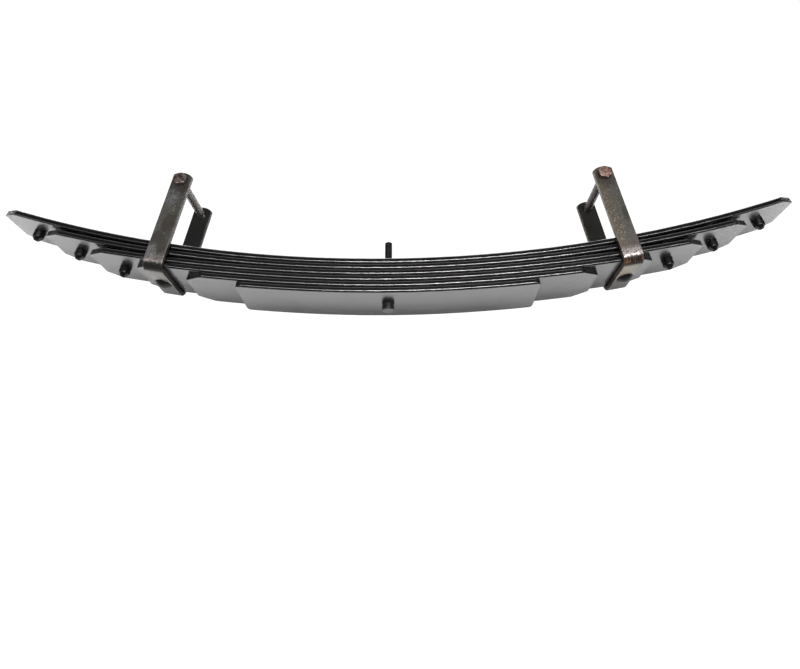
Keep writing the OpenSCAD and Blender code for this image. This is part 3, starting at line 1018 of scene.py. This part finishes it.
def clamp_rivet(side):
    """Rivet with a domed head that was set by hand, so it isn't quite round."""
    label = SIDES[side]
    r = RIVET_D / 2
    sunk = RIVET_SUNK_D / 2
    seat = -STRAP_T - 2 * LEAN_DROP
    rim = RIVET_HEAD_D / 2
    dome_r = (rim**2 + RIVET_HEAD_H**2) / (2 * RIVET_HEAD_H)
    centre = seat - RIVET_HEAD_H + dome_r
    edge = math.degrees(math.asin((dome_r - RIVET_HEAD_H) / dome_r))
    profile = [(0, seat - RIVET_HEAD_H)] + arc(0, centre, dome_r, -90, -edge, 22)[1:-1]
    profile += [(rim - 0.25, seat - 0.6), (rim - 0.1, seat - 0.25), (rim - 0.35, seat)]
    profile += [(r + 0.2, seat + 0.05), (r, seat + 0.4), (r, LEAF_T - (sunk - r)),
                (sunk, LEAF_T), (0, LEAF_T)]
    obj = lathe(f"{label}_clamp_rivet_detailed", profile)
    p = points_of(obj)
    for i in np.nonzero(p[:, 2] < seat)[0]:
        uneven = noise.noise(Vector(p[i]) * 0.28 + Vector((side * 7.0, 0, 0)))
        p[i, 2] += RIVET_DIP * (0.5 + 0.5 * uneven)
    set_points(obj, p)
    matrix = station(side, CLAMPED, CLAMP[side], -CLAMPED * PITCH + LEAF_GAP)
    finish_piece(obj, matrix, f"{label}_clamp", f"{label}_clamp_rivet",
                 RIVET_STEEL, 60)


def across_clamp(side, y):
    """Matrix, in mm, to the clamp bolt's axis at y, with local Z along the bolt."""
    at = Matrix.Translation((0, y, CLAMP_BOLT_Z))
    return at_clamp(side) @ at @ Matrix.Rotation(math.radians(-90), 4, "X")


def clamp_bolt(side):
    label = SIDES[side]
    r = CLAMP_BOLT_D / 2
    head_y = LEG_OUT + REST_GAP
    end_y = LEG_OUT + CLAMP_NUT_H + CLAMP_BOLT_END
    before = [(0, -head_y - 1), (r, -head_y - 1), (r, LEG_OUT - 12)]
    after = [(r - 0.9, end_y - 0.9), (r - 1.5, end_y - 0.2), (r - 2.2, end_y), (0, end_y)]
    obj = thread(f"{label}_clamp_bolt_detailed", before, r, LEG_OUT - 11.5, end_y - 1.3,
                 CLAMP_PITCH, after)
    head = hexagon("head", CLAMP_HEX_AF, CLAMP_HEAD_H, chamfer_top=False)
    head = bevel(clean(head), 0.25, 3)
    shift(head, 0, 0, -head_y - CLAMP_HEAD_H)
    washer = CLAMP_HEX_AF / 2 * 0.97
    face = lathe("face", [(0, -0.6), (washer, -0.6), (washer, 0.05), (0, 0.05)])
    shift(face, 0, 0, -head_y + 0.04)
    boolean(obj, "UNION", [head, face])
    clean(obj, 1e-4)
    turned = Matrix.Rotation(math.radians(HEX_TURN[side]), 4, "Z")
    finish_piece(obj, across_clamp(side, 0) @ turned, f"{label}_clamp",
                 f"{label}_clamp_bolt", BOLT_STEEL[side], 40)


def clamp_nut(side):
    label = SIDES[side]
    obj = nut(f"{label}_clamp_nut_detailed", CLAMP_HEX_AF, CLAMP_NUT_H, CLAMP_BOLT_D)
    finish_piece(obj, across_clamp(side, LEG_OUT + REST_GAP), f"{label}_clamp",
                 f"{label}_clamp_nut", BOLT_STEEL[side])


# ---------------------------------------------------------------- tip pads

def tip_pad(side, n):
    """Round pad with a softened rim, on a tapered stem with a hollow end."""
    label = SIDES[side]
    top = PAD_SAG + REST_GAP
    end = -LEAF_T - STEM_DROP
    r, end_r, rim = STEM_D / 2, STEM_END_D / 2, PAD_D / 2
    lip_r = 0.45                  # rounding round the stem's hollow end
    taper_from = end + 2 * lip_r
    taper_h = STEM_TAPER_H - 2 * lip_r
    under_r = 0.5                 # rounding of the pad's lower rim
    profile = [(0, end + 1.4), (end_r - 1.4, end + 1.2), (end_r - 1.0, end + 0.25)]
    profile += arc(end_r - lip_r, end + lip_r, lip_r, -90, -20, 5)
    profile += [(end_r + 0.25, taper_from)]
    profile += [(end_r + (r - end_r) * t**0.55, taper_from + taper_h * t)
                for t in (0.25, 0.5, 0.7, 0.85, 0.95)]
    profile += [(r, end + STEM_TAPER_H + 0.3), (r, -LEAF_T), (r, top - 0.4), (r + 0.4, top)]
    profile += [(rim - under_r, top)]
    profile += arc(rim - under_r, top + under_r, under_r, -60, 0, 4)
    profile += arc(rim - PAD_RIM_R, top + PAD_T - PAD_RIM_R, PAD_RIM_R, 0, 90, 6)
    profile += [(rim - 6, top + PAD_T), (0, top + PAD_T)]
    obj = lathe(f"{label}_tip_pad_{n}_detailed", profile, 96)
    matrix = station(side, n, pad_at(side, n), -(n - 1) * PITCH)
    finish_piece(obj, matrix, f"{label}_tip_{n}", f"{label}_tip_pad_{n}",
                 PLASTIC, 40)


centre_bolt()
centre_nut()
for side in SIDES:
    clamp_strap(side)
    clamp_rivet(side)
    clamp_bolt(side)
    clamp_nut(side)
    for n in (1, 2, 3):
        tip_pad(side, n)


# ---------------------------------------------------------------- stage, light and camera

scene = bpy.context.scene
scene.view_settings.view_transform = "Standard"
scene.view_settings.look = "None"


def floor():
    """Pale floor far below the spring."""
    half = 60.0
    z = -1.25
    corners = [(-half, -half, z), (half, -half, z), (half, half, z), (-half, half, z)]
    obj = new_object("floor", corners, [[0, 1, 2, 3]])
    m = Nodes("floor_paper")
    fine = m.noise(m.object_co(), 3.0, 3.0)
    m.surface(Base_Color=m.mix(fine, (0.84, 0.84, 0.84), (0.87, 0.87, 0.87)),
              Roughness=0.9, Specular_IOR_Level=0.1, Emission_Color=(1, 1, 1),
              Emission_Strength=0.42)
    m.material.cycles.emission_sampling = "NONE"
    obj.data.materials.append(m.material)


def card(name, centre, half_a, half_b, shade):
    """One-sided studio card that only shows as a reflection in the spring."""
    c, a, b = Vector(centre), Vector(half_a), Vector(half_b)
    obj = new_object(name, [c - a - b, c + a - b, c + a + b, c - a + b], [[0, 1, 2, 3]])
    m = Nodes(name)
    m.surface(Base_Color=(shade, shade, shade), Roughness=1.0, Specular_IOR_Level=0.0)
    one_sided = m.add("ShaderNodeMixShader")
    m.put(one_sided, 0, m.add("ShaderNodeNewGeometry").outputs["Backfacing"])
    m.put(one_sided, 1, m.shader.outputs[0])
    m.put(one_sided, 2, m.add("ShaderNodeBsdfTransparent").outputs[0])
    m.put(m.tree.nodes["Material Output"], "Surface", one_sided.outputs[0])
    obj.data.materials.append(m.material)
    obj.visible_camera = False
    obj.visible_diffuse = False
    obj.visible_shadow = False
    obj.visible_transmission = False
    return obj


def area_light(name, at, aim, width, height, power, diffuse=True, only=None):
    light = bpy.data.lights.new(name, "AREA")
    light.shape = "RECTANGLE"
    light.size, light.size_y = width, height
    light.energy = power
    obj = bpy.data.objects.new(name, light)
    scene.collection.objects.link(obj)
    obj.location = at
    obj.rotation_euler = (Vector(aim) - Vector(at)).to_track_quat("-Z", "Y").to_euler()
    obj.visible_camera = False
    obj.visible_diffuse = diffuse
    if only:
        lit = bpy.data.collections.new(name + "_lights")
        lit.objects.link(only)
        obj.light_linking.receiver_collection = lit


def surroundings():
    """White backdrop for the eye, and for the light a studio that is dark in front."""
    world = bpy.data.worlds.new("studio")
    scene.world = world
    world.use_nodes = True
    tree = world.node_tree
    tree.nodes.clear()
    add, link = tree.nodes.new, tree.links.new
    co = add("ShaderNodeTexCoord")
    split = add("ShaderNodeSeparateXYZ")
    link(co.outputs["Generated"], split.inputs[0])

    def glow(axis, low, high, value):
        """Dim before low along an axis, and value past high."""
        node = add("ShaderNodeMapRange")
        node.interpolation_type = "SMOOTHSTEP"
        link(split.outputs[axis], node.inputs["Value"])
        node.inputs["From Min"].default_value = low
        node.inputs["From Max"].default_value = high
        node.inputs["To Min"].default_value = 0.06
        node.inputs["To Max"].default_value = value
        return node.outputs[0]

    brighter = add("ShaderNodeMath")
    brighter.operation = "MAXIMUM"
    link(glow("Y", 0.18, 0.6, 1.3), brighter.inputs[0])
    link(glow("Z", 0.72, 0.98, 1.5), brighter.inputs[1])
    lit = add("ShaderNodeBackground")
    lit.inputs["Color"].default_value = (1, 1, 1, 1)
    link(brighter.outputs[0], lit.inputs["Strength"])
    seen = add("ShaderNodeBackground")
    seen.inputs["Color"].default_value = (1, 1, 1, 1)
    seen.inputs["Strength"].default_value = 1.1
    path = add("ShaderNodeLightPath")
    mix = add("ShaderNodeMixShader")
    link(path.outputs["Is Camera Ray"], mix.inputs[0])
    link(lit.outputs[0], mix.inputs[1])
    link(seen.outputs[0], mix.inputs[2])
    out = add("ShaderNodeOutputWorld")
    link(mix.outputs[0], out.inputs["Surface"])


def camera():
    """Low in front of the spring and looking up at it, as solved from the photograph."""
    yaw, pitch, roll = -0.0192, 0.3652, -0.0012
    place = Vector((0.0291, -0.7278, -0.3198))
    data = bpy.data.cameras.new("camera")
    data.sensor_width = 36.0
    data.lens = 27.694
    data.clip_start, data.clip_end = 0.02, 300.0
    obj = bpy.data.objects.new("camera", data)
    scene.collection.objects.link(obj)
    ahead = Vector((math.sin(yaw) * math.cos(pitch), math.cos(yaw) * math.cos(pitch),
                    math.sin(pitch)))
    level = Vector((math.cos(yaw), -math.sin(yaw), 0))
    above = level.cross(ahead)
    right = level * math.cos(roll) + above * math.sin(roll)
    up = above * math.cos(roll) - level * math.sin(roll)
    m = Matrix((right, up, -ahead)).transposed().to_4x4()
    m.translation = place
    obj.matrix_world = m
    scene.camera = obj


floor()
surroundings()
back_card = card("back_card", (0, 0.062, -0.1), (0.85, 0, 0), (0, 0, 0.4), 0.9)
card("low_flag", (0, -0.72, -0.5), (1.6, 0, 0), (0, 0.78, 0), 0.02)
area_light("edge_strip", (0.22, -1.55, -0.02), (0.1, 0, 0.02), 0.95, 0.2, 34, diffuse=False)
area_light("left_strip", (-0.60, -1.55, -0.02), (-0.1, 0, 0.02), 0.75, 0.2, 7.5, diffuse=False)
area_light("right_strip", (1.05, -1.55, -0.02), (0.3, 0, 0.02), 0.7, 0.2, 7, diffuse=False)
area_light("card_light", (0, -1.6, 0.42), (0, 0, 0), 2.6, 0.25, 64, only=back_card)
area_light("top_soft", (0.2, 0.5, 2.6), (0, 0, 0), 2.4, 1.6, 40)
camera()
